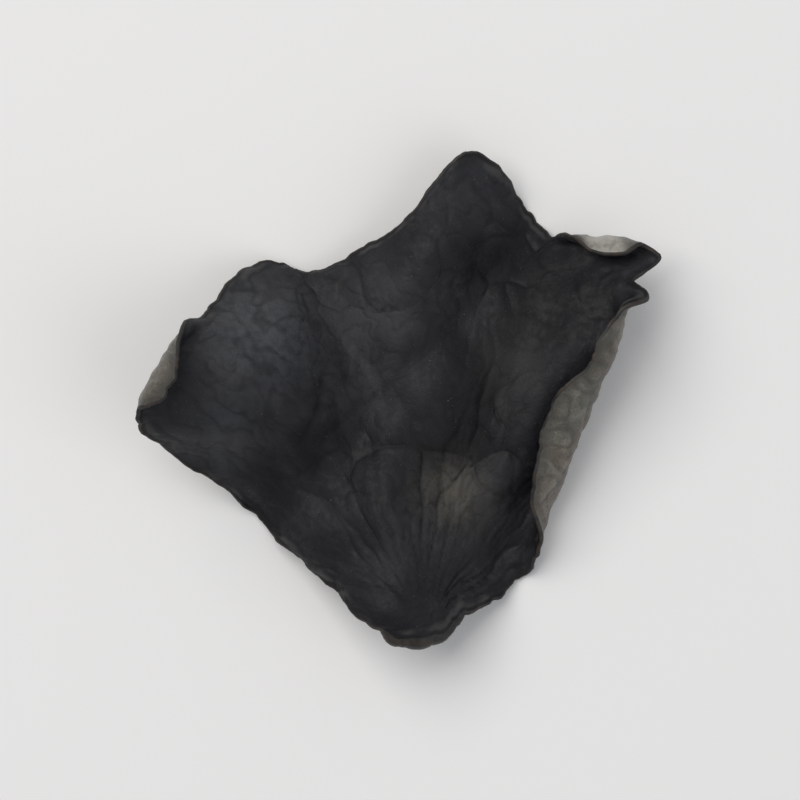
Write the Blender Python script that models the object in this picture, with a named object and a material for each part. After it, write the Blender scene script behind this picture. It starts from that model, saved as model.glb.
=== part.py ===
"""Dried wood ear mushroom: one thin, leathery ear that shrank and curled as it dried.

The ear grew in one piece, so it is one closed solid. It is a flat sheet, cut to a lobed outline, whose
edges are rolled up along a few lines and which is then bent up and down. All lengths in the tables are in
millimetres. X is the ear's width, Y runs from the attachment to the tallest lobe, and Z is up.
"""

import bpy
import numpy as np
from mathutils import Vector, noise

MM = 0.001
NODE = "wood_ear"

RINGS = 26  # rings of points from the middle of the sheet to its edge; ring k has 6 k points
THICK_MIDDLE, THICK_EDGE, THICK_FOOT = 1.05, 0.45, 1.6
EDGE_BAND = 0.45  # share of the way from the edge to the middle over which the sheet gets thinner
FOOT_RADIUS = 1.8
PAD = 0.12  # how much of the lowest bumps is pressed flat, where the ear lies on a surface

# The flat sheet's outline, anticlockwise from the attachment.
OUTLINE = (
    (2.1, -11.5), (4.3, -10.4), (7.3, -8.4), (9.9, -6.0), (11.4, -3.2), (12.1, -0.2), (12.4, 2.4),
    (12.6, 4.4), (12.7, 5.5), (12.1, 6.3), (12.6, 6.9), (13.5, 7.6), (12.8, 8.1), (12.2, 9.1), (11.3, 9.8),
    (10.1, 9.7), (9.0, 9.0), (8.15, 8.45), (7.2, 9.6), (6.1, 11.0), (5.2, 12.3), (4.2, 12.75), (3.2, 12.3),
    (2.0, 10.8), (0.8, 9.2), (-0.8, 8.1), (-2.6, 7.2), (-4.3, 6.7), (-5.6, 7.3), (-7.2, 7.0), (-8.5, 5.5),
    (-9.6, 4.4), (-10.9, 4.1), (-12.8, 2.9), (-13.4, 0.9), (-12.2, -1.3), (-10.3, -2.9), (-8.3, -4.4),
    (-6.2, -6.4), (-3.6, -8.8), (-1.1, -10.8), (0.5, -11.7),
)
OUTLINE_POINTS = 2160
ROUND_WAVES = 6  # how many waves of the outline the sheet's middle keeps

# Rolled edges: the line where the roll starts, keeping the sheet's middle on its left, and at even steps
# along it the roll's radius and how far it turns, in degrees.
ROLLS = (
    ((5.5, -8.6), (11.4, 6.0), (1.5, 1.1, 0.85, 0.8, 0.8), (0, 140, 185, 175, 60)),
    ((14.2, 7.45), (8.1, 7.65), (0.65, 0.76, 0.78, 0.95), (90, 168, 150, 20)),
    ((-9.2, 4.2), (-12.1, -1.4), (0.9, 0.85, 0.8), (30, 180, 150)),
    ((-9.4, -1.9), (-4.2, -7.2), (1.0, 1.1, 1.2), (25, 75, 20)),
)
ROLL_END = 1.2  # length over which a roll begins and ends
ROLL_REACH = 8.0  # a roll's line takes up no more of the sheet than this

# How far the edge is bent up or down, by direction from the middle in degrees.
BENDS = (
    (0, 0.6), (18, 2.8), (33, 2.5), (52, -2.7), (62, -1.4), (72, 3.4), (88, -0.4), (104, -4.0), (122, -6.9),
    (140, -2.4), (160, 1.6), (180, 3.6), (198, -2.4), (216, -8.6), (236, -5.8), (260, -0.4), (276, 1.2),
    (292, -1.4), (310, -3.9), (335, -1.8),
)
BEND_SOFTENING = (4, 5, 6, 7)  # degrees over which the bends are blended with each other, one after another
BEND_REACH, BEND_POWER = 12.0, 1.9
LEAN = (0.15, 0.071)  # how far the ear sinks for each mm towards +X and +Y, so that it lies level

# Soft creases in the sheet: from, to, height and half width. Each fades in and out near its ends.
CREASES = (
    ((3.6, 10.5), (1.6, -3.0), 0.5, 2.1),
    ((-4.2, 6.5), (-0.6, -5.5), -0.6, 1.8),
    ((-8.4, 3.6), (-2.2, -3.0), 0.5, 1.7),
    ((8.6, 7.0), (2.6, -5.0), -0.5, 1.7),
    ((10.0, 3.2), (3.4, -7.0), 0.4, 1.5),
    ((-9.0, -2.6), (-2.0, -7.6), 0.6, 1.5),
    ((-0.4, -3.6), (0.8, -11.5), 0.7, 1.3),
    ((2.4, -4.6), (2.4, -11.0), -0.6, 1.2),
)
CREASE_LEAD_IN, CREASE_RISE = 0.15, 0.4
CREASE_LEAD_OUT, CREASE_FALL = 0.2, 0.5

# Hollows and swellings: middle, height and radius.
DENTS = (
    ((2.9, -3.8), -0.8, 1.8), ((-2.6, 1.6), -0.3, 2.4), ((5.6, 3.0), -0.3, 2.2), ((-6.4, 4.4), 0.4, 1.6),
    ((-6.8, -4.9), -0.8, 2.6),
)
FOOT = (1.3, -11.0)  # the puckered attachment
PLEATS, PLEAT_HEIGHT, PLEAT_REACH, PLEAT_TURN, PLEAT_START = 5, 0.4, 5.5, 0.6, 4.0

# The small irregular buckles: their size, and the height of the broad ones and of the finer ones on them.
BUCKLE_SIZE, BUCKLE_HEIGHTS, FINE_SIZE, FINE_SHARE = 4.2, (0.26, 0.26, 0.51), 0.45, 0.35
BUCKLE_PLACE = (7.3, 2.9, 5.1)


def turning(points, count):
    """Evenly spaced points along a smooth closed curve through these ones."""
    points = np.array(points, float)
    t = np.linspace(0, 1, 16, endpoint=False)[:, None]
    spans = []
    for i in range(len(points)):
        a, b, c, d = (points[(i + k) % len(points)] for k in (-1, 0, 1, 2))
        bow = a - 2.5 * b + 2 * c - d / 2
        twist = 1.5 * (b - c) + (d - a) / 2
        spans.append(b + t * (c - a) / 2 + t**2 * bow + t**3 * twist)
    curve = np.concatenate(spans + [points[:1]])
    length = np.concatenate([[0], np.cumsum(np.linalg.norm(np.diff(curve, axis=0), axis=1))])
    even = np.linspace(0, length[-1], count, endpoint=False)
    return np.stack([np.interp(even, length, x) for x in curve.T], axis=1)


def disc(rings):
    """Each point's ring and share of the turn, and the triangles of a disc whose ring k has 6 k points."""
    ring, share, faces = [0.0], [0.0], []
    for k in range(1, rings + 1):
        here, inside = 1 + 3 * k * (k - 1), 1 + 3 * (k - 1) * (k - 2)
        ring += [k / rings] * (6 * k)
        share += [i / (6 * k) for i in range(6 * k)]
        for side in range(6):
            for i in range(k):
                a, b = here + side * k + i, here + (side * k + i + 1) % (6 * k)
                c = inside + (side * (k - 1) + i) % (6 * (k - 1)) if k > 1 else 0
                faces.append((a, b, c))
                if i < k - 1:
                    faces.append((b, inside + (side * (k - 1) + i + 1) % (6 * (k - 1)), c))
    return np.array(ring), np.array(share), np.array(faces)


def around(share, table):
    """The closed curve's point at each share of the turn."""
    at = np.concatenate([table, table[:1]])
    return np.stack([np.interp(share * len(table), np.arange(len(at)), x) for x in at.T], axis=1)


def ease(x):
    x = np.clip(x, 0, 1)
    return x * x * (3 - 2 * x)


def hill(place, centre, radius):
    """A smooth hill, 1 at its centre."""
    return np.exp(-((place - centre) ** 2).sum(axis=1) / radius**2)


def uneven(points, size, shift):
    """Smooth noise of about this size at each point."""
    return np.array([noise.noise(Vector(p) / size + Vector(shift)) for p in points])


def lay_out(ring, share):
    """The flat sheet: the outline at its edge, fading to a round shape in the middle."""
    edge = turning(OUTLINE, OUTLINE_POINTS)
    waves = np.fft.fft(edge[:, 0] + 1j * edge[:, 1])
    waves[ROUND_WAVES + 1 : -ROUND_WAVES] = 0
    smooth = np.fft.ifft(waves)
    inner = around(share, np.stack([smooth.real, smooth.imag], axis=1))
    outer = around(share, edge)
    middle = np.array([[smooth.real.mean(), smooth.imag.mean()]])
    w = (ring**2)[:, None]
    return middle + ring[:, None] * ((1 - w) * inner + w * outer - middle)


def roll_up(flat):
    """Wraps what lies past each roll's line round a cylinder, upwards and inwards."""
    points = np.column_stack([flat, np.zeros(len(flat))])
    for start, end, radii, turns in ROLLS:
        start, along = np.array(start), np.subtract(end, start)
        length = np.hypot(*along)
        along = along / length
        out = np.array([along[1], -along[0]])
        t, d = (flat - start) @ along, (flat - start) @ out
        steps = np.linspace(0, length, len(radii))
        radius = np.interp(t, steps, radii)
        most = np.radians(np.interp(t, steps, turns)) * ease(t / ROLL_END) * ease((length - t) / ROLL_END)
        past = (d > 0) & (d < ROLL_REACH) & (most > 0)
        angle = np.minimum(d / radius, most)
        rest = np.maximum(d - radius * angle, 0)
        away = radius * np.sin(angle) + rest * np.cos(angle)
        up = radius * (1 - np.cos(angle)) + rest * np.sin(angle)
        moved = np.column_stack([start + t[:, None] * along + away[:, None] * out, up])
        points[past] = moved[past]
    return points


def bend_at(place):
    """How far the edge's bends lift each place."""
    at, lift = np.array(BENDS, float).T
    at = np.concatenate([at - 360, at, at + 360])
    turn = np.linspace(0, 360, 361)
    bend = np.interp(turn, at, np.tile(lift, 3))
    for step in BEND_SOFTENING:
        bend = sum(np.interp((turn + side) % 360, turn, bend) for side in (-step, 0, step)) / 3
    reach = np.hypot(*place.T) / BEND_REACH
    return np.interp(np.degrees(np.arctan2(place[:, 1], place[:, 0])) % 360, turn, bend) * reach**BEND_POWER


def height(place):
    """How far the sheet is bent up at each place."""
    z = bend_at(place) - place @ LEAN
    for start, end, high, half in CREASES:
        along = np.subtract(end, start)
        length = np.hypot(*along)
        t = (place - start) @ along / length**2
        off = (place - start) @ np.array([along[1], -along[0]]) / length
        ends = ease((t + CREASE_LEAD_IN) / CREASE_RISE) * ease((1 + CREASE_LEAD_OUT - t) / CREASE_FALL)
        z += high * np.exp(-((off / half) ** 2)) * ends
    for centre, high, half in DENTS:
        z += high * hill(place, centre, half)
    away = place - FOOT
    far, side = np.hypot(*away.T), np.arctan2(away[:, 0], away[:, 1])
    pleats = np.sin(PLEATS * side + PLEAT_TURN) * hill(place, FOOT, PLEAT_REACH) * ease(far / PLEAT_START)
    return z + PLEAT_HEIGHT * pleats


def buckle(points):
    """Small irregular buckles, mostly up and down."""
    moved = points.copy()
    for axis, high in enumerate(BUCKLE_HEIGHTS):
        shift = (BUCKLE_PLACE[0] * axis, *BUCKLE_PLACE[1:])
        broad = uneven(points, BUCKLE_SIZE, shift)
        fine = uneven(points, BUCKLE_SIZE * FINE_SIZE, shift)
        moved[:, axis] += high * (broad + FINE_SHARE * fine)
    return moved


def normals_of(points, faces):
    a, b, c = (points[faces[:, i]] for i in range(3))
    face = np.cross(b - a, c - a)
    found = np.zeros_like(points)
    for i in range(3):
        np.add.at(found, faces[:, i], face)
    return found / np.linalg.norm(found, axis=1)[:, None]


def thickness(points, ring):
    """The sheet's thickness: thin at its edge, and thickest at the attachment."""
    inwards = (THICK_MIDDLE - THICK_EDGE) * ease((1 - ring) / EDGE_BAND)
    return THICK_EDGE + inwards + (THICK_FOOT - THICK_EDGE) * hill(points[:, :2], FOOT, FOOT_RADIUS)


def shell(points, faces, ring, thick):
    """A closed skin round the sheet: its upper and lower faces and a ridge along the edge."""
    up = normals_of(points, faces)
    rim = np.flatnonzero(ring == 1)
    ahead = np.roll(points[rim], -1, axis=0) - np.roll(points[rim], 1, axis=0)
    out = np.cross(ahead, up[rim])
    out /= np.linalg.norm(out, axis=1)[:, None]
    half = thick[:, None] / 2
    ridge = points[rim] + out * half[rim]
    count, m = len(points), len(rim)
    top, low, mid = rim, rim + count, 2 * count + np.arange(m)
    nxt = np.roll(np.arange(m), -1)
    sides = [(top, mid[nxt], top[nxt]), (top, mid, mid[nxt])]
    sides += [(mid, low[nxt], mid[nxt]), (mid, low, low[nxt])]
    strips = np.concatenate([np.column_stack(s) for s in sides])
    skin = np.concatenate([points + up * half, points - up * half, ridge])
    return skin, np.concatenate([faces, faces[:, ::-1] + count, strips])


def set_down(points):
    """Presses the lowest bumps flat and puts the origin under the middle of the ear's box."""
    low, high = points.min(0), points.max(0)
    points = np.column_stack([points[:, :2], np.maximum(points[:, 2], low[2] + PAD)])
    return points - ((low[0] + high[0]) / 2, (low[1] + high[1]) / 2, low[2] + PAD)


def ear():
    """The skin's points and triangles, in mm."""
    ring, share, faces = disc(RINGS)
    points = roll_up(lay_out(ring, share))
    points[:, 2] += height(points[:, :2])
    points = buckle(points)
    skin, faces = shell(points, faces, ring, thickness(points, ring))
    return set_down(skin), faces


def material():
    made = bpy.data.materials.new("dried_skin")
    made.use_nodes = True
    surface = made.node_tree.nodes["Principled BSDF"]
    surface.inputs["Base Color"].default_value = (0.022, 0.021, 0.022, 1)
    surface.inputs["Roughness"].default_value = 0.6
    surface.inputs["Metallic"].default_value = 0.0
    return made


def main():
    for old in list(bpy.data.objects):
        bpy.data.objects.remove(old)
    points, faces = ear()
    mesh = bpy.data.meshes.new(NODE)
    mesh.from_pydata((points * MM).tolist(), [], faces.tolist())
    mesh.shade_smooth()
    mesh.materials.append(material())
    bpy.context.scene.collection.objects.link(bpy.data.objects.new(NODE, mesh))


main()
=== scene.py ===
"""The looks of a dried wood ear mushroom: a fine mesh of its buckled skin, black and satiny inside,
grey-brown and felted outside, lying on a pale floor under soft light.

The form is the one that the solid model is built with, on a finer net of points: a flat sheet cut to a
lobed outline, rolled up along its edges and bent up and down. Wrinkles, creases, veins, a thin frayed
edge and the colours are added here. The ear's lengths are in millimetres until its mesh is made, and
the studio's places and sizes are in metres.
"""

import functools
import math

import bpy
import numpy as np
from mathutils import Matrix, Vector, noise


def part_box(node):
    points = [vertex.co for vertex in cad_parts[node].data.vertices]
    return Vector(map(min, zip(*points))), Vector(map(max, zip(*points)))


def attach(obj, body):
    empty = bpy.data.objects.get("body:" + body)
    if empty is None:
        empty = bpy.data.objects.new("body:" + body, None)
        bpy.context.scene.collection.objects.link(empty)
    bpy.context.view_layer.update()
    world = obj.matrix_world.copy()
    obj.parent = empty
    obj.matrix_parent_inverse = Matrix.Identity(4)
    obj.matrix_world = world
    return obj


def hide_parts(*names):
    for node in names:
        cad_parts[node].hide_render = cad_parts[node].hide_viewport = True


MM = 0.001
NODE = "wood_ear"
PIECE = "ear_skin"

RINGS = 118  # rings of points from the middle of the sheet to its edge; ring k has 6 k points
THICK_MIDDLE, THICK_EDGE, THICK_FOOT = 1.05, 0.45, 1.6
EDGE_BAND = 0.45  # share of the way from the edge to the middle over which the sheet gets thinner
FOOT_RADIUS = 1.8
PAD = 0.12  # how much of the lowest bumps is pressed flat, where the ear lies on a surface

# The flat sheet's outline, anticlockwise from the attachment.
OUTLINE = (
    (2.1, -11.5), (4.3, -10.4), (7.3, -8.4), (9.9, -6.0), (11.4, -3.2), (12.1, -0.2), (12.4, 2.4),
    (12.6, 4.4), (12.7, 5.5), (12.1, 6.3), (12.6, 6.9), (13.5, 7.6), (12.8, 8.1), (12.2, 9.1), (11.3, 9.8),
    (10.1, 9.7), (9.0, 9.0), (8.15, 8.45), (7.2, 9.6), (6.1, 11.0), (5.2, 12.3), (4.2, 12.75), (3.2, 12.3),
    (2.0, 10.8), (0.8, 9.2), (-0.8, 8.1), (-2.6, 7.2), (-4.3, 6.7), (-5.6, 7.3), (-7.2, 7.0), (-8.5, 5.5),
    (-9.6, 4.4), (-10.9, 4.1), (-12.8, 2.9), (-13.4, 0.9), (-12.2, -1.3), (-10.3, -2.9), (-8.3, -4.4),
    (-6.2, -6.4), (-3.6, -8.8), (-1.1, -10.8), (0.5, -11.7),
)
OUTLINE_POINTS = 2160
SPAN_STEPS = 16  # points along the curve between two of the outline's points
ROUND_WAVES = 6  # how many waves of the outline the sheet's middle keeps

# Rolled edges: the line where the roll starts, keeping the sheet's middle on its left, and at even steps
# along it the roll's radius and how far it turns, in degrees.
ROLLS = (
    ((5.5, -8.6), (11.4, 6.0), (1.5, 1.1, 0.85, 0.8, 0.8), (0, 140, 185, 175, 60)),
    ((14.2, 7.45), (8.1, 7.65), (0.65, 0.76, 0.78, 0.95), (90, 168, 150, 20)),
    ((-9.2, 4.2), (-12.1, -1.4), (0.9, 0.85, 0.8), (30, 180, 150)),
    ((-9.4, -1.9), (-4.2, -7.2), (1.0, 1.1, 1.2), (25, 75, 20)),
)
ROLL_END = 1.2  # length over which a roll begins and ends
ROLL_REACH = 8.0  # a roll's line takes up no more of the sheet than this

# How far the edge is bent up or down, by direction from the middle in degrees.
BENDS = (
    (0, 0.6), (18, 2.8), (33, 2.5), (52, -2.7), (62, -1.4), (72, 3.4), (88, -0.4), (104, -4.0), (122, -6.9),
    (140, -2.4), (160, 1.6), (180, 3.6), (198, -2.4), (216, -8.6), (236, -5.8), (260, -0.4), (276, 1.2),
    (292, -1.4), (310, -3.9), (335, -1.8),
)
BEND_SOFTENING = (4, 5, 6, 7)  # degrees over which the bends are blended with each other, one after another
BEND_REACH, BEND_POWER = 12.0, 1.9
LEAN = (0.15, 0.071)  # how far the ear sinks for each mm towards +X and +Y, so that it lies level

# Soft creases in the sheet: from, to, height and half width. Each fades in and out near its ends.
CREASES = (
    ((3.6, 10.5), (1.6, -3.0), 0.5, 2.1),
    ((-4.2, 6.5), (-0.6, -5.5), -0.6, 1.8),
    ((-8.4, 3.6), (-2.2, -3.0), 0.5, 1.7),
    ((8.6, 7.0), (2.6, -5.0), -0.5, 1.7),
    ((10.0, 3.2), (3.4, -7.0), 0.4, 1.5),
    ((-9.0, -2.6), (-2.0, -7.6), 0.6, 1.5),
    ((-0.4, -3.6), (0.8, -11.5), 0.7, 1.3),
    ((2.4, -4.6), (2.4, -11.0), -0.6, 1.2),
)
CREASE_LEAD_IN, CREASE_RISE = 0.15, 0.4
CREASE_LEAD_OUT, CREASE_FALL = 0.2, 0.5

# Hollows and swellings: middle, height and radius.
DENTS = (
    ((2.9, -3.8), -0.8, 1.8), ((-2.6, 1.6), -0.3, 2.4), ((5.6, 3.0), -0.3, 2.2), ((-6.4, 4.4), 0.4, 1.6),
    ((-6.8, -4.9), -0.8, 2.6),
)
FOOT = (1.3, -11.0)  # the puckered attachment
PLEATS, PLEAT_HEIGHT, PLEAT_REACH, PLEAT_TURN, PLEAT_START = 5, 0.4, 5.5, 0.6, 4.0

# The small irregular buckles: their size, how far they move the sheet along x, y and z, and the finer
# ones on them, as shares of that size and height.
BUCKLE_SIZE, BUCKLE_HEIGHTS, FINE_SIZE, FINE_SHARE = 4.2, (0.26, 0.26, 0.51), 0.45, 0.35
BUCKLE_PLACE = (7.3, 2.9, 5.1)

# Relief that only this script has: sizes and heights. A place is where in its noise a relief is taken.
TEETH = ((1.7, 0.30), (0.6, 0.13), (0.22, 0.05))  # the frayed edge's teeth
TEETH_PLACE = (3.0, 1.0, 4.0)
# Where the edge is more ragged: middle, strength and radius.
RAGS = (((-12.9, 1.4), 1.8, 2.4), ((4.4, -10.4), 0.3, 2.4))
THIN_EDGE = 0.24  # the very edge's thickness
THIN_BAND, THIN_BAND_MORE = 0.03, 0.10  # share of the way in over which the edge thins: least, and more
THIN_PATCH_SIZE, THIN_PLACE, THIN_PATCH_SHARE = 3.1, (7.0, 4.0, 2.0), 0.4
RIM_STEPS = 4  # strips of faces round the edge
RUFFLES = ((2.6, 0.42), (1.1, 0.14))  # waves along the edge
RUFFLE_BAND, RUFFLE_PLACE = 0.16, (5.0, 9.0, 1.0)
CREASE_SHARPNESS = 3.2
CELL_WARP, CELL_WARP_OFTEN = 0.55, 1.3  # how crooked the walls between cells are, and how often they turn
FACET_SIZE, FACET_HEIGHT, FACET_CREASE = 2.7, 0.16, 0.35  # creased facets, like those of crumpled leather
FACET_PLACE, FACETED_SIZE, FACETED_PLACE = (2.0, 8.0, 5.0), 5.0, (8.0, 3.0, 6.0)
DRAWN_HEIGHT, DRAWN_REACH, DRAWN_FADE = 0.14, 16.0, 1.25  # wrinkles drawn out away from the attachment
DRAWN_ACROSS, DRAWN_ALONG, DRAWN_WANDER, DRAWN_LEAST = 0.85, 4.5, 0.36, 0.35
DRAWN_SPREAD = 6.0  # how far from the attachment the wrinkles are as wide as their size says
DRAWN_PLACE = (4.0, 4.0, 1.0)
DRAWN_PATCH_SIZE, DRAWN_PATCH_PLACE, DRAWN_PATCH_SHARE = 3.8, (1.0, 6.0, 2.0), 0.5
WANDER_SIZE, WANDER_PLACE = 2, (2.0, 7.0)  # how they wander: size in wrinkle widths
WRINKLE_ACROSS, WRINKLE_ALONG, WRINKLE_DEPTH = 0.36, 1.5, 0.022  # the inner face's fine wrinkles
WRINKLE_PLACE = (6.0, 1.0, 3.0)
SHRIVEL_SIZE, SHRIVEL_DEPTH, SHRIVEL_PLACE = 0.95, 0.06, (2.0, 5.0, 8.0)  # the outer face's wrinkles
VEIN_SIZE, VEIN_WIDTH, VEIN_HEIGHT = 1.5, 0.14, 0.12  # the outer face's net of raised veins
VEIN_PLACE, VEINED_SIZE, VEINED_PLACE, VEINED_LEAST = (6.0, 2.0, 9.0), 4.4, (3.0, 7.0, 4.0), 0.25
PATCH_SHARE, PATCH_CONTRAST = 0.55, 1.8  # how much of a face soft patches take up, and how sharply
RELIEF_START = 0.04  # share of the way in at which the faces' fine relief is whole
SMOOTHING = 16  # how many times the sheet is evened out before its thickness is measured from it

# Soft patches: middle, strength and radius. On the inner face, pale patches of painted sheen, warm paler
# patches and patches of painted shade; on the outer face, painted glints and painted shade at the ends of
# the horn's roll.
# Painted sheen: the satiny inner face made paler where it catches the light.
PAINTED_SHEENS = (
    ((-6.9, 4.0), 1.25, 2.9), ((1.6, -6.4), 0.5, 1.6), ((-8.6, -1.6), 0.8, 1.8), ((-0.6, 4.9), 0.6, 1.7),
    ((4.0, 10.6), 0.35, 1.8), ((-1.2, 1.2), 0.3, 2.2),
)
WARMS = (((2.9, -4.4), 1.5, 1.7), ((6.0, 1.6), 0.3, 2.0))
# Painted shade: the inner face made a deeper black where it lies in shade.
PAINTED_SHADES = (((3.8, -1.3), 1.0, 2.1), ((8.2, 5.4), 1.1, 3.3), ((-5.4, -3.2), 0.6, 2.2), ((1.6, 3.4), 0.4, 2.6))
GLINTS = (((10.9, 9.5), 1.0, 1.0), ((-11.6, 2.2), 0.3, 1.0))
# Painted shade at the two ends of the horn's rolled strip.
PAINTED_HORN_SHADES = (((8.9, 8.9), 0.9, 0.8), ((12.9, 8.3), 0.8, 0.7))

# Colours, as red, green and blue light.
# The third black, the deepest, is painted shade: it darkens the inner face's creases, fine wrinkles and
# shaded patches.
BLACK, SOFT_BLACK, PAINTED_SHADE_BLACK = (0.0088, 0.0088, 0.0108), (0.0145, 0.0145, 0.0178), (0.0042, 0.0042, 0.0052)
DUST, SPECK = (0.058, 0.056, 0.055), (0.17, 0.16, 0.145)
# The first colour here is painted sheen, laid on the inner face's pale patches.
PAINTED_SHEEN_GREY, WARM = (0.058, 0.060, 0.065), (0.068, 0.062, 0.053)
RIM_BLACK, RIM_BROWN = (0.010, 0.009, 0.0085), (0.032, 0.021, 0.014)
TAUPE, OLIVE, BROWN = (0.105, 0.094, 0.077), (0.086, 0.089, 0.068), (0.120, 0.081, 0.056)
PALE, BRIGHT = (0.25, 0.228, 0.19), (0.46, 0.44, 0.39)
# SHADE is painted shade in the outer face's wrinkles, in its felt's hollows and at the ends of the horn's
# roll; it also darkens the band along the edge.
SHADE, SCAR = (0.034, 0.030, 0.025), (0.105, 0.076, 0.055)

# The faces' noises: how many waves to a mm, detail and, where it isn't the usual one, roughness.
INNER_NOISES = {"broad": (0.28, 3), "fine": (2.4, 5), "grain": (9.0, 4, 0.65), "patchy": (0.5, 2)}
OUTER_NOISES = {"broad": (0.22, 3), "fine": (1.5, 5), "felt": (10.0, 4, 0.7), "brown": (0.16, 2)}

# The faces' colours, each laid over those before it as strongly as all its masks multiplied. A mask is
# the name of a noise or of a value of the points, with its levels for Surface.ramp if it has any.
INNER_LAYERS = (
    (SOFT_BLACK, ("broad", 0.38, 0.66)),
    # Painted shade along the creases.
    (PAINTED_SHADE_BLACK, ("crease", 0.2, 1.0, 0.0, 0.6)),
    (DUST, ("broad", 0.5, 0.72), ("fine", 0.45, 0.7, 0.0, 0.3)),
    # Painted shade in patches.
    (PAINTED_SHADE_BLACK, ("painted_shade", 0.1, 1.0, 0.0, 0.75)),
    # Painted sheen in pale patches.
    (PAINTED_SHEEN_GREY, ("painted_sheen",), ("fine", 0.3, 0.65, 0.45, 0.8)),
    (WARM, ("warm",), ("fine", 0.3, 0.65, 0.45, 0.8)),
    # Painted shade along the fine wrinkles.
    (PAINTED_SHADE_BLACK, ("wrinkle", 0.45, 1.0, 0.0, 0.4)),
    (SPECK, ("grain", 0.64, 0.72), ("fine", 0.4, 0.62, 0.0, 0.5)),
    (DUST, ("edge", 0.010, 0.022), ("edge", 0.030, 0.050, 1.0, 0.0), ("patchy", 0.45, 0.62, 0.0, 0.6)),
    (RIM_BLACK, ("edge", 0.0, 0.016, 0.9, 0.0)),
)
OUTER_LAYERS = (
    (OLIVE, ("broad", 0.38, 0.62)),
    (BROWN, ("brown", 0.48, 0.66, 0.0, 0.75)),
    (PALE, ("fine", 0.4, 0.75, 0.0, 0.55)),
    (PALE, ("vein", 0.1, 0.9, 0.0, 0.55)),
    # Painted shade in the wrinkles' folds and in the felt's hollows.
    (SHADE, ("shrivel", 0.35, 1.0, 0.0, 0.55)),
    (SHADE, ("felt", 0.35, 0.6, 0.5, 0.0)),
    (SHADE, ("edge", 0.0, 0.05, 0.7, 0.0)),
    (SCAR, ("foot", 0.3, 0.9, 0.0, 0.7)),
    # Painted shade at the ends of the horn's roll.
    (SHADE, ("painted_horn_shade", 0.2, 0.9, 0.0, 0.8)),
    (BRIGHT, ("glint", 0.15, 0.75), ("fine", 0.3, 0.6, 0.25, 0.65)),
)

# The faces' smallest bumps: how many to a mm, depth in mm and strength.
PORES, PORE_DEPTH, PORE_STRENGTH = (5.5, 5, 0.62), 0.05, 0.55
CELLS_PER_MM, CELL_DEPTH, CELL_STRENGTH = 2.6, 0.03, 0.35
FELT_DEPTH, FELT_STRENGTH = 0.06, 0.9

# How the faces shine. The inner one's roughness follows its fine noise, by its levels.
INNER_ROUGHNESS, INNER_SPECULAR = (0.3, 0.7, 0.45, 0.66), 0.2
OUTER_ROUGHNESS, OUTER_SHEEN, OUTER_SHEEN_ROUGHNESS = 0.9, 0.35, 0.5
EDGE_PER_MM, EDGE_LEVELS, EDGE_ROUGHNESS = 1.6, (0.45, 0.7), 0.6

INNER, OUTER, EDGE = range(3)  # the materials' places on the mesh
MIX_SHARE, MIX_A, MIX_B, MIX_RESULT = 0, 6, 7, 2  # the Mix node's sockets for colours

# The studio, in metres, with its camera's lens in millimetres. A light has a name, a place, a side, a
# strength in watts and a colour.
LIGHTS = (
    ("key", (-0.20, 0.20, 0.40), 0.40, 1.7, (1.0, 0.985, 0.96)),
    ("fill", (0.30, -0.16, 0.34), 0.40, 0.42, (0.96, 0.98, 1.0)),
)
SKY_COLOUR, SKY_STRENGTH = (0.93, 0.96, 1.0), 0.40
FLOOR_REACH, FLOOR_COLOUR, FLOOR_ROUGHNESS = 0.6, (0.81, 0.80, 0.79), 0.7
CAMERA_HEIGHT, CAMERA_LENS = 0.30, 268.0


def turning(points, count):
    """Evenly spaced points along a smooth closed curve through these ones."""
    points = np.array(points, float)
    t = np.linspace(0, 1, SPAN_STEPS, endpoint=False)[:, None]
    spans = []
    for i in range(len(points)):
        a, b, c, d = (points[(i + k) % len(points)] for k in (-1, 0, 1, 2))
        bow = a - 2.5 * b + 2 * c - d / 2
        twist = 1.5 * (b - c) + (d - a) / 2
        spans.append(b + t * (c - a) / 2 + t**2 * bow + t**3 * twist)
    curve = np.concatenate(spans + [points[:1]])
    length = np.concatenate([[0], np.cumsum(np.linalg.norm(np.diff(curve, axis=0), axis=1))])
    even = np.linspace(0, length[-1], count, endpoint=False)
    return np.stack([np.interp(even, length, x) for x in curve.T], axis=1)


def disc(rings):
    """Each point's ring and share of the turn, and the triangles of a disc whose ring k has 6 k points."""
    ring, share, faces = [0.0], [0.0], []
    for k in range(1, rings + 1):
        here, inside = 1 + 3 * k * (k - 1), 1 + 3 * (k - 1) * (k - 2)
        ring += [k / rings] * (6 * k)
        share += [i / (6 * k) for i in range(6 * k)]
        for side in range(6):
            for i in range(k):
                a, b = here + side * k + i, here + (side * k + i + 1) % (6 * k)
                c = inside + (side * (k - 1) + i) % (6 * (k - 1)) if k > 1 else 0
                faces.append((a, b, c))
                if i < k - 1:
                    faces.append((b, inside + (side * (k - 1) + i + 1) % (6 * (k - 1)), c))
    return np.array(ring), np.array(share), np.array(faces)


def around(share, table):
    """The closed curve's point at each share of the turn."""
    at = np.concatenate([table, table[:1]])
    return np.stack([np.interp(share * len(table), np.arange(len(at)), x) for x in at.T], axis=1)


def level(flat):
    """The flat places as points of height 0."""
    return np.column_stack([flat, np.zeros(len(flat))])


def ease(x):
    """Rises smoothly from 0 to 1 as x does."""
    x = np.clip(x, 0, 1)
    return x * x * (3 - 2 * x)


def hill(place, centre, radius):
    """A smooth hill, 1 at its centre."""
    return np.exp(-((place - centre) ** 2).sum(axis=1) / radius**2)


def uneven(points, size, shift):
    """Smooth noise of about this size at each point."""
    return np.array([noise.noise(Vector(p) / size + Vector(shift)) for p in points])


def spots(flat, table):
    """How strongly each point lies in the table's spots."""
    return sum(strength * hill(flat, middle, radius) for middle, strength, radius in table)


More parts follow.
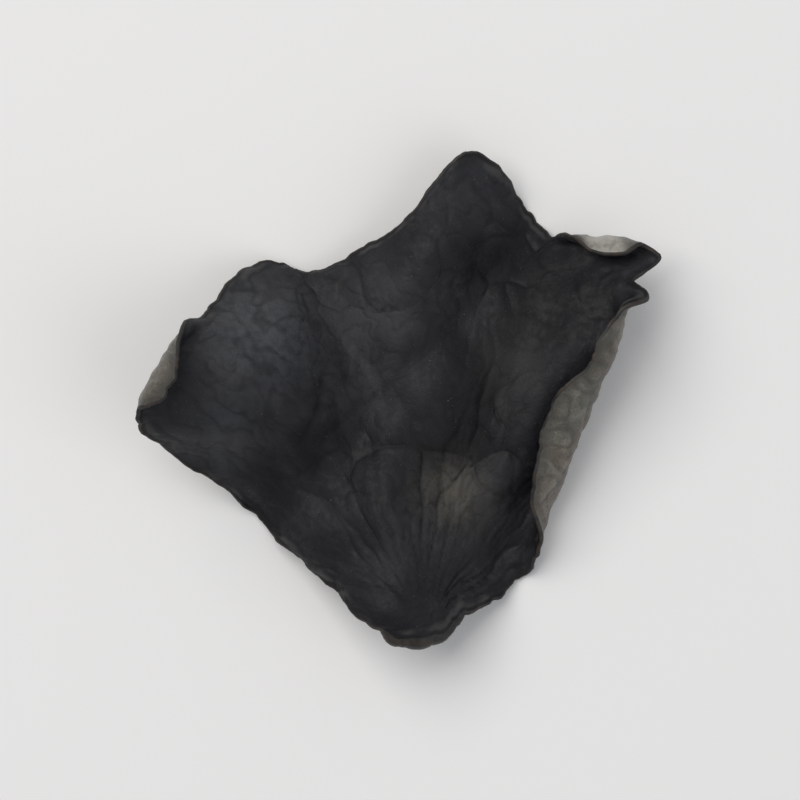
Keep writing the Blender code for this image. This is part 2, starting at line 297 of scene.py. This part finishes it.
def teeth(edge):
    """How far the edge's small teeth stand out."""
    small = sum(depth * uneven(level(edge), size, TEETH_PLACE) for size, depth in TEETH)
    return small * (1 + spots(edge, RAGS))


def lay_out(ring, share):
    """The flat sheet: the outline at its edge, fading to a round shape in the middle."""
    edge = turning(OUTLINE, OUTLINE_POINTS)
    edge = edge + teeth(edge)[:, None] * edge / np.linalg.norm(edge, axis=1)[:, None]
    waves = np.fft.fft(edge[:, 0] + 1j * edge[:, 1])
    waves[ROUND_WAVES + 1 : -ROUND_WAVES] = 0
    smooth = np.fft.ifft(waves)
    inner = around(share, np.stack([smooth.real, smooth.imag], axis=1))
    outer = around(share, edge)
    middle = np.array([[smooth.real.mean(), smooth.imag.mean()]])
    w = (ring**2)[:, None]
    return middle + ring[:, None] * ((1 - w) * inner + w * outer - middle)


def roll_up(flat):
    """Wraps what lies past each roll's line round a cylinder, upwards and inwards."""
    points = level(flat)
    for start, end, radii, turns in ROLLS:
        start, along = np.array(start), np.subtract(end, start)
        length = np.hypot(*along)
        along = along / length
        out = np.array([along[1], -along[0]])
        t, d = (flat - start) @ along, (flat - start) @ out
        steps = np.linspace(0, length, len(radii))
        radius = np.interp(t, steps, radii)
        most = np.radians(np.interp(t, steps, turns)) * ease(t / ROLL_END) * ease((length - t) / ROLL_END)
        past = (d > 0) & (d < ROLL_REACH) & (most > 0)
        angle = np.minimum(d / radius, most)
        rest = np.maximum(d - radius * angle, 0)
        away = radius * np.sin(angle) + rest * np.cos(angle)
        up = radius * (1 - np.cos(angle)) + rest * np.sin(angle)
        moved = np.column_stack([start + t[:, None] * along + away[:, None] * out, up])
        points[past] = moved[past]
    return points


def bend_at(place):
    """How far the edge's bends lift each place."""
    at, lift = np.array(BENDS, float).T
    at = np.concatenate([at - 360, at, at + 360])
    turn = np.linspace(0, 360, 361)
    bend = np.interp(turn, at, np.tile(lift, 3))
    for step in BEND_SOFTENING:
        bend = sum(np.interp((turn + side) % 360, turn, bend) for side in (-step, 0, step)) / 3
    reach = np.hypot(*place.T) / BEND_REACH
    return np.interp(np.degrees(np.arctan2(place[:, 1], place[:, 0])) % 360, turn, bend) * reach**BEND_POWER


def height(place):
    """How far the sheet is bent up at each place."""
    z = bend_at(place) - place @ LEAN
    for start, end, high, half in CREASES:
        along = np.subtract(end, start)
        length = np.hypot(*along)
        t = (place - start) @ along / length**2
        off = (place - start) @ np.array([along[1], -along[0]]) / length
        ends = ease((t + CREASE_LEAD_IN) / CREASE_RISE) * ease((1 + CREASE_LEAD_OUT - t) / CREASE_FALL)
        z += high * np.exp(-((off / half) ** 2)) * ends
    for centre, high, half in DENTS:
        z += high * hill(place, centre, half)
    away = place - FOOT
    far, side = np.hypot(*away.T), np.arctan2(away[:, 0], away[:, 1])
    pleats = np.sin(PLEATS * side + PLEAT_TURN) * hill(place, FOOT, PLEAT_REACH) * ease(far / PLEAT_START)
    return z + PLEAT_HEIGHT * pleats


def buckle(points):
    """Small irregular buckles, mostly up and down."""
    moved = points.copy()
    for axis, high in enumerate(BUCKLE_HEIGHTS):
        shift = (BUCKLE_PLACE[0] * axis, *BUCKLE_PLACE[1:])
        broad = uneven(points, BUCKLE_SIZE, shift)
        fine = uneven(points, BUCKLE_SIZE * FINE_SIZE, shift)
        moved[:, axis] += high * (broad + FINE_SHARE * fine)
    return moved


def normals_of(points, faces):
    """The direction that the sheet faces at each point."""
    a, b, c = (points[faces[:, i]] for i in range(3))
    face = np.cross(b - a, c - a)
    found = np.zeros_like(points)
    for i in range(3):
        np.add.at(found, faces[:, i], face)
    return found / np.linalg.norm(found, axis=1)[:, None]


def set_down(points):
    """Presses the lowest bumps flat and puts the origin under the middle of the ear's box."""
    low, high = points.min(0), points.max(0)
    points = np.column_stack([points[:, :2], np.maximum(points[:, 2], low[2] + PAD)])
    return points - ((low[0] + high[0]) / 2, (low[1] + high[1]) / 2, low[2] + PAD)


def even_out(points, faces, times):
    """Moves each point halfway to the mean of its neighbours, over and over."""
    ends = np.concatenate([faces[:, [0, 1]], faces[:, [1, 2]], faces[:, [2, 0]]])
    ends = np.concatenate([ends, ends[:, ::-1]])
    count = np.bincount(ends[:, 0], minlength=len(points))[:, None]
    for _ in range(times):
        around_it = [np.bincount(ends[:, 0], points[ends[:, 1], k], len(points)) for k in range(3)]
        points = (points + np.stack(around_it, axis=1) / count) / 2
    return points


def folds(points, size, place):
    """Narrow folds between rounded swellings, from 0 on a swelling to 1 along a fold."""
    return 1 - np.minimum(np.abs(uneven(points, size, place)) * CREASE_SHARPNESS, 1)


def wall_distance(points, size, place):
    """About how far each point is from the crooked walls between irregular cells."""
    place = Vector(place)
    found = np.empty(len(points))
    for i, p in enumerate(points):
        at = Vector(p) / size + place
        bent = at * CELL_WARP_OFTEN
        warp = Vector((noise.noise(bent), noise.noise(bent + place), 0)) * CELL_WARP
        near = noise.voronoi(at + warp)[0]
        found[i] = (near[1] - near[0]) * size / 2
    return found


def patches(points, size, place, share=PATCH_SHARE):
    """Soft patches, from 0 to 1."""
    return ease(share + PATCH_CONTRAST * uneven(points, size, place))


def drawn_out(flat, across, along, place):
    """Wrinkles of this width and length that run away from the attachment."""
    away = flat - FOOT
    far, side = np.hypot(*away.T), np.arctan2(away[:, 0], away[:, 1])
    straight = level(np.column_stack([side * DRAWN_SPREAD / across, far / along]))
    wander = [uneven(level(flat), WANDER_SIZE * across, (k, *WANDER_PLACE)) for k in range(3)]
    return folds(straight + DRAWN_WANDER * np.stack(wander, axis=1), 1.0, place)


def shell(points, faces, ring, thick, inner_relief, outer_relief):
    """A closed skin round the sheet: its inner face, its outer face and a rounded edge between them."""
    up = normals_of(even_out(points, faces, SMOOTHING), faces)
    rim = np.flatnonzero(ring == 1)
    ahead = np.roll(points[rim], -1, axis=0) - np.roll(points[rim], 1, axis=0)
    out = np.cross(ahead, up[rim])
    out /= np.linalg.norm(out, axis=1)[:, None]
    half = thick / 2
    inner = points + up * (half + inner_relief)[:, None]
    outer = points - up * (half + outer_relief)[:, None]
    count, m = len(points), len(rim)
    loops, edge = [rim], []
    for k in range(1, RIM_STEPS):
        turn = math.pi * k / RIM_STEPS
        across = (inner[rim] + outer[rim]) / 2 + (inner[rim] - outer[rim]) * math.cos(turn) / 2
        edge.append(across + out * half[rim, None] * math.sin(turn))
        loops.append(2 * count + (k - 1) * m + np.arange(m))
    loops.append(rim + count)
    nxt = np.roll(np.arange(m), -1)
    strips = []
    for a, b in zip(loops, loops[1:]):
        strips += [np.column_stack([a, b[nxt], a[nxt]]), np.column_stack([a, b, b[nxt]])]
    skin = np.concatenate([inner, outer] + edge)
    all_faces = np.concatenate([faces, faces[:, ::-1] + count] + strips)
    kinds = np.repeat([INNER, OUTER, EDGE], [len(faces), len(faces), 2 * m * RIM_STEPS])
    return skin, all_faces, kinds


def ear():
    """The skin's points, its triangles, which face each belongs to, and the points' values."""
    ring, share, faces = disc(RINGS)
    flat = lay_out(ring, share)
    sheet = level(flat)
    points = roll_up(flat)
    points[:, 2] += height(points[:, :2])
    points = buckle(points)
    edge = 1 - ring

    drawn = drawn_out(flat, DRAWN_ACROSS, DRAWN_ALONG, DRAWN_PLACE)
    patchy = patches(sheet, DRAWN_PATCH_SIZE, DRAWN_PATCH_PLACE, DRAWN_PATCH_SHARE)
    drawn *= DRAWN_LEAST + (1 - DRAWN_LEAST) * patchy
    drawn *= ease(DRAWN_FADE - np.hypot(*(flat - FOOT).T) / DRAWN_REACH)
    crease = np.exp(-wall_distance(sheet, FACET_SIZE, FACET_PLACE) / FACET_CREASE)
    faceted = patches(sheet, FACETED_SIZE, FACETED_PLACE)
    ruffle = sum(high * uneven(sheet, size, RUFFLE_PLACE) for size, high in RUFFLES)
    lift = FACET_HEIGHT * (1 - crease) * faceted - DRAWN_HEIGHT * drawn
    lift += ruffle * ease(1 - edge / RUFFLE_BAND)
    up = normals_of(even_out(points, faces, SMOOTHING), faces)
    points = points + up * lift[:, None]

    foot = hill(points[:, :2], FOOT, FOOT_RADIUS)
    thick = THICK_EDGE + (THICK_MIDDLE - THICK_EDGE) * ease(edge / EDGE_BAND)
    thick += (THICK_FOOT - THICK_EDGE) * foot
    band = THIN_BAND + THIN_BAND_MORE * patches(sheet, THIN_PATCH_SIZE, THIN_PLACE, THIN_PATCH_SHARE)
    thick -= (THICK_EDGE - THIN_EDGE) * (1 - ease(edge / band)) ** 2
    veined = VEINED_LEAST + (1 - VEINED_LEAST) * patches(sheet, VEINED_SIZE, VEINED_PLACE)
    vein = veined * np.exp(-((wall_distance(sheet, VEIN_SIZE, VEIN_PLACE) / VEIN_WIDTH) ** 2))
    wrinkle = drawn_out(flat, WRINKLE_ACROSS, WRINKLE_ALONG, WRINKLE_PLACE)
    shrivel = folds(sheet, SHRIVEL_SIZE, SHRIVEL_PLACE)
    inside = ease(edge / RELIEF_START)
    skin, all_faces, kinds = shell(
        points, faces, ring, thick, -WRINKLE_DEPTH * wrinkle * inside,
        (VEIN_HEIGHT * vein - SHRIVEL_DEPTH * shrivel) * inside,
    )
    values = {
        "edge": edge, "foot": foot, "vein": vein, "wrinkle": wrinkle, "shrivel": shrivel,
        # The crease value places painted shade along the folds; the spots place painted sheen, a warm tint,
        # painted shade, painted glints and painted shade on the horn's roll.
        "crease": np.maximum(drawn, crease * faceted),
        "painted_sheen": spots(flat, PAINTED_SHEENS), "warm": spots(flat, WARMS), "painted_shade": spots(flat, PAINTED_SHADES),
        "glint": spots(flat, GLINTS), "painted_horn_shade": spots(flat, PAINTED_HORN_SHADES),
    }
    rim = np.flatnonzero(ring == 1)
    values = {name: np.concatenate([v, v] + [v[rim]] * (RIM_STEPS - 1)) for name, v in values.items()}
    return set_down(skin), all_faces, kinds, values


class Surface:
    """A material with short ways to add and join its nodes."""

    def __init__(self, name):
        self.material = bpy.data.materials.new(name)
        self.material.use_nodes = True
        tree = self.material.node_tree
        self.nodes, self.links = tree.nodes, tree.links
        self.shader = self.nodes["Principled BSDF"]
        coordinates = self.nodes.new("ShaderNodeTexCoord")
        in_mm = self.nodes.new("ShaderNodeVectorMath")
        in_mm.operation = "SCALE"
        in_mm.inputs["Scale"].default_value = 1 / MM
        self.links.new(coordinates.outputs["Object"], in_mm.inputs[0])
        self.place = in_mm.outputs[0]

    def put(self, value, socket):
        """Joins a node's output to the socket, or sets the socket to a number or colour."""
        if isinstance(value, bpy.types.NodeSocket):
            self.links.new(value, socket)
        elif isinstance(value, tuple) and len(value) == 3:
            socket.default_value = (*value, 1)
        else:
            socket.default_value = value

    def set(self, **values):
        for name, value in values.items():
            self.put(value, self.shader.inputs[name.replace("_", " ")])

    def noise(self, per_mm, detail=4.0, roughness=0.55):
        node = self.nodes.new("ShaderNodeTexNoise")
        inputs = {"Scale": per_mm, "Detail": detail, "Roughness": roughness, "Vector": self.place}
        for name, value in inputs.items():
            self.put(value, node.inputs[name])
        return node.outputs["Fac"]

    def cells(self, per_mm):
        node = self.nodes.new("ShaderNodeTexVoronoi")
        node.feature = "DISTANCE_TO_EDGE"
        self.put(per_mm, node.inputs["Scale"])
        self.put(self.place, node.inputs["Vector"])
        return node.outputs["Distance"]

    def value(self, name):
        node = self.nodes.new("ShaderNodeAttribute")
        node.attribute_name = name
        return node.outputs["Fac"]

    def ramp(self, value, low, high, at_low=0.0, at_high=1.0):
        node = self.nodes.new("ShaderNodeMapRange")
        node.interpolation_type = "SMOOTHSTEP"
        inputs = {"Value": value, "From Min": low, "From Max": high, "To Min": at_low, "To Max": at_high}
        for name, v in inputs.items():
            self.put(v, node.inputs[name])
        return node.outputs["Result"]

    def times(self, a, b):
        node = self.nodes.new("ShaderNodeMath")
        node.operation = "MULTIPLY"
        self.put(a, node.inputs[0])
        self.put(b, node.inputs[1])
        return node.outputs[0]

    def mix(self, share, a, b):
        node = self.nodes.new("ShaderNodeMix")
        node.data_type = "RGBA"
        for socket, v in ((MIX_SHARE, share), (MIX_A, a), (MIX_B, b)):
            self.put(v, node.inputs[socket])
        return node.outputs[MIX_RESULT]

    def layered(self, base, noises, layers):
        """The base colour with each layer's colour laid over it."""
        colour = base
        for tint, *masks in layers:
            shares = []
            for name, *levels in masks:
                value = noises[name] if name in noises else self.value(name)
                shares.append(self.ramp(value, *levels) if levels else value)
            colour = self.mix(functools.reduce(self.times, shares), colour, tint)
        return colour

    def bump(self, value, depth, strength, under=None):
        node = self.nodes.new("ShaderNodeBump")
        self.put(strength, node.inputs["Strength"])
        self.put(depth * MM, node.inputs["Distance"])
        self.put(value, node.inputs["Height"])
        if under:
            self.put(under, node.inputs["Normal"])
        return node.outputs["Normal"]


def inner_face():
    s = Surface("inner_face")
    noises = {name: s.noise(*look) for name, look in INNER_NOISES.items()}
    s.set(Base_Color=s.layered(BLACK, noises, INNER_LAYERS))
    s.set(Roughness=s.ramp(noises["fine"], *INNER_ROUGHNESS), Specular_IOR_Level=INNER_SPECULAR)
    pores = s.bump(s.noise(*PORES), PORE_DEPTH, PORE_STRENGTH)
    s.set(Normal=s.bump(s.cells(CELLS_PER_MM), CELL_DEPTH, CELL_STRENGTH, pores))
    return s.material


def outer_face():
    s = Surface("outer_face")
    noises = {name: s.noise(*look) for name, look in OUTER_NOISES.items()}
    s.set(Base_Color=s.layered(TAUPE, noises, OUTER_LAYERS), Roughness=OUTER_ROUGHNESS)
    s.set(Sheen_Weight=OUTER_SHEEN, Sheen_Roughness=OUTER_SHEEN_ROUGHNESS)
    s.set(Normal=s.bump(noises["felt"], FELT_DEPTH, FELT_STRENGTH))
    return s.material


def thin_edge():
    s = Surface("thin_edge")
    mottling = s.ramp(s.noise(EDGE_PER_MM), *EDGE_LEVELS)
    s.set(Base_Color=s.mix(mottling, RIM_BLACK, RIM_BROWN), Roughness=EDGE_ROUGHNESS)
    return s.material


def make_piece():
    points, faces, kinds, values = ear()
    mesh = bpy.data.meshes.new(PIECE)
    mesh.from_pydata((points * MM).tolist(), [], faces.tolist())
    for material in (inner_face(), outer_face(), thin_edge()):
        mesh.materials.append(material)
    mesh.polygons.foreach_set("material_index", kinds.astype(np.int32))
    for name, numbers in values.items():
        mesh.attributes.new(name, "FLOAT", "POINT").data.foreach_set("value", numbers.astype(np.float32))
    mesh.shade_smooth()
    mesh.update()
    piece = bpy.data.objects.new(PIECE, mesh)
    bpy.context.scene.collection.objects.link(piece)
    return piece


def make_floor():
    mesh = bpy.data.meshes.new("floor")
    corners = [(x * FLOOR_REACH, y * FLOOR_REACH, 0) for x, y in ((-1, -1), (1, -1), (1, 1), (-1, 1))]
    mesh.from_pydata(corners, [], [(0, 1, 2, 3)])
    s = Surface("floor")
    s.set(Base_Color=FLOOR_COLOUR, Roughness=FLOOR_ROUGHNESS)
    mesh.materials.append(s.material)
    floor = bpy.data.objects.new("floor", mesh)
    bpy.context.scene.collection.objects.link(floor)


def add_light(name, place, size, watts, colour):
    light = bpy.data.lights.new(name, "AREA")
    light.size, light.energy, light.color = size, watts, colour
    lamp = bpy.data.objects.new(name, light)
    bpy.context.scene.collection.objects.link(lamp)
    lamp.location = place
    lamp.rotation_euler = (-Vector(place)).to_track_quat("-Z", "Y").to_euler()


def make_studio():
    scene = bpy.context.scene
    scene.view_settings.view_transform = "Standard"
    scene.world = bpy.data.worlds.new("studio")
    scene.world.use_nodes = True
    sky = scene.world.node_tree.nodes["Background"]
    sky.inputs["Color"].default_value = (*SKY_COLOUR, 1)
    sky.inputs["Strength"].default_value = SKY_STRENGTH
    for light in LIGHTS:
        add_light(*light)


def make_camera():
    low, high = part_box(NODE)
    data = bpy.data.cameras.new("camera")
    data.lens = CAMERA_LENS
    camera = bpy.data.objects.new("camera", data)
    bpy.context.scene.collection.objects.link(camera)
    camera.location = (low + high) / 2 + Vector((0, 0, CAMERA_HEIGHT))
    bpy.context.scene.camera = camera


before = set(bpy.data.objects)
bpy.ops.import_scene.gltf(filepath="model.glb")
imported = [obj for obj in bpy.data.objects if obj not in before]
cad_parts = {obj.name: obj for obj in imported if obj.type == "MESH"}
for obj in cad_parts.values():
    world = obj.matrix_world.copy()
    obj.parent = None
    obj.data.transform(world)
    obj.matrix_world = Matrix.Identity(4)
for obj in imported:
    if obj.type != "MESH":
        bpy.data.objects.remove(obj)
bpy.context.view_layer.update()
make_camera()
make_studio()
make_floor()
ear_skin = make_piece()
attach(ear_skin, "root")
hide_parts(NODE)
